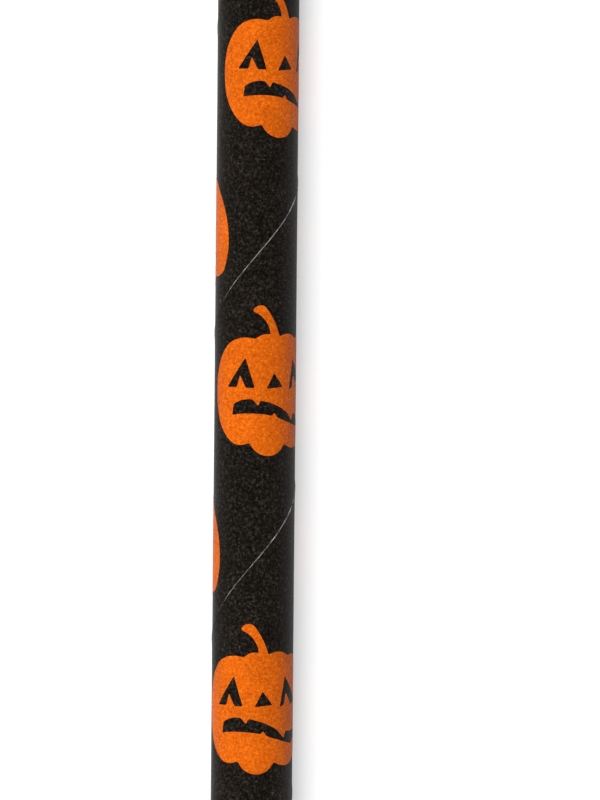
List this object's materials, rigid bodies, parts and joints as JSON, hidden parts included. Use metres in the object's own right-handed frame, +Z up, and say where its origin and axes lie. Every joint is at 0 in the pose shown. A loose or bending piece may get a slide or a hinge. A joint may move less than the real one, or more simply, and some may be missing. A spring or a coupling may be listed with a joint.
{
  "type": "paper drinking straw",
  "caption": "Straight wound paper drinking straw, charcoal with an orange jack-o'-lantern print that follows the winding, square-cut open ends.",
  "frame": {"origin": "bottom centre of the bounding box: the line that the lying straw rests on, at the middle of its length", "axes": "+Y along the straw towards the end that the stalks point to, +Z up, +X to the right of the print seen from above"},
  "size_m": [0.006, 0.197, 0.0061],
  "materials": {
    "paper": "matt charcoal paper with fine fibres",
    "bare_edge": "matt bare paper edge",
    "ink": "matt orange ink on paper"
  },
  "bodies": {
    "root": {"paper_tube": "paper", "strip_edge": "bare_edge", "print": "ink"}
  },
  "joints": []
}
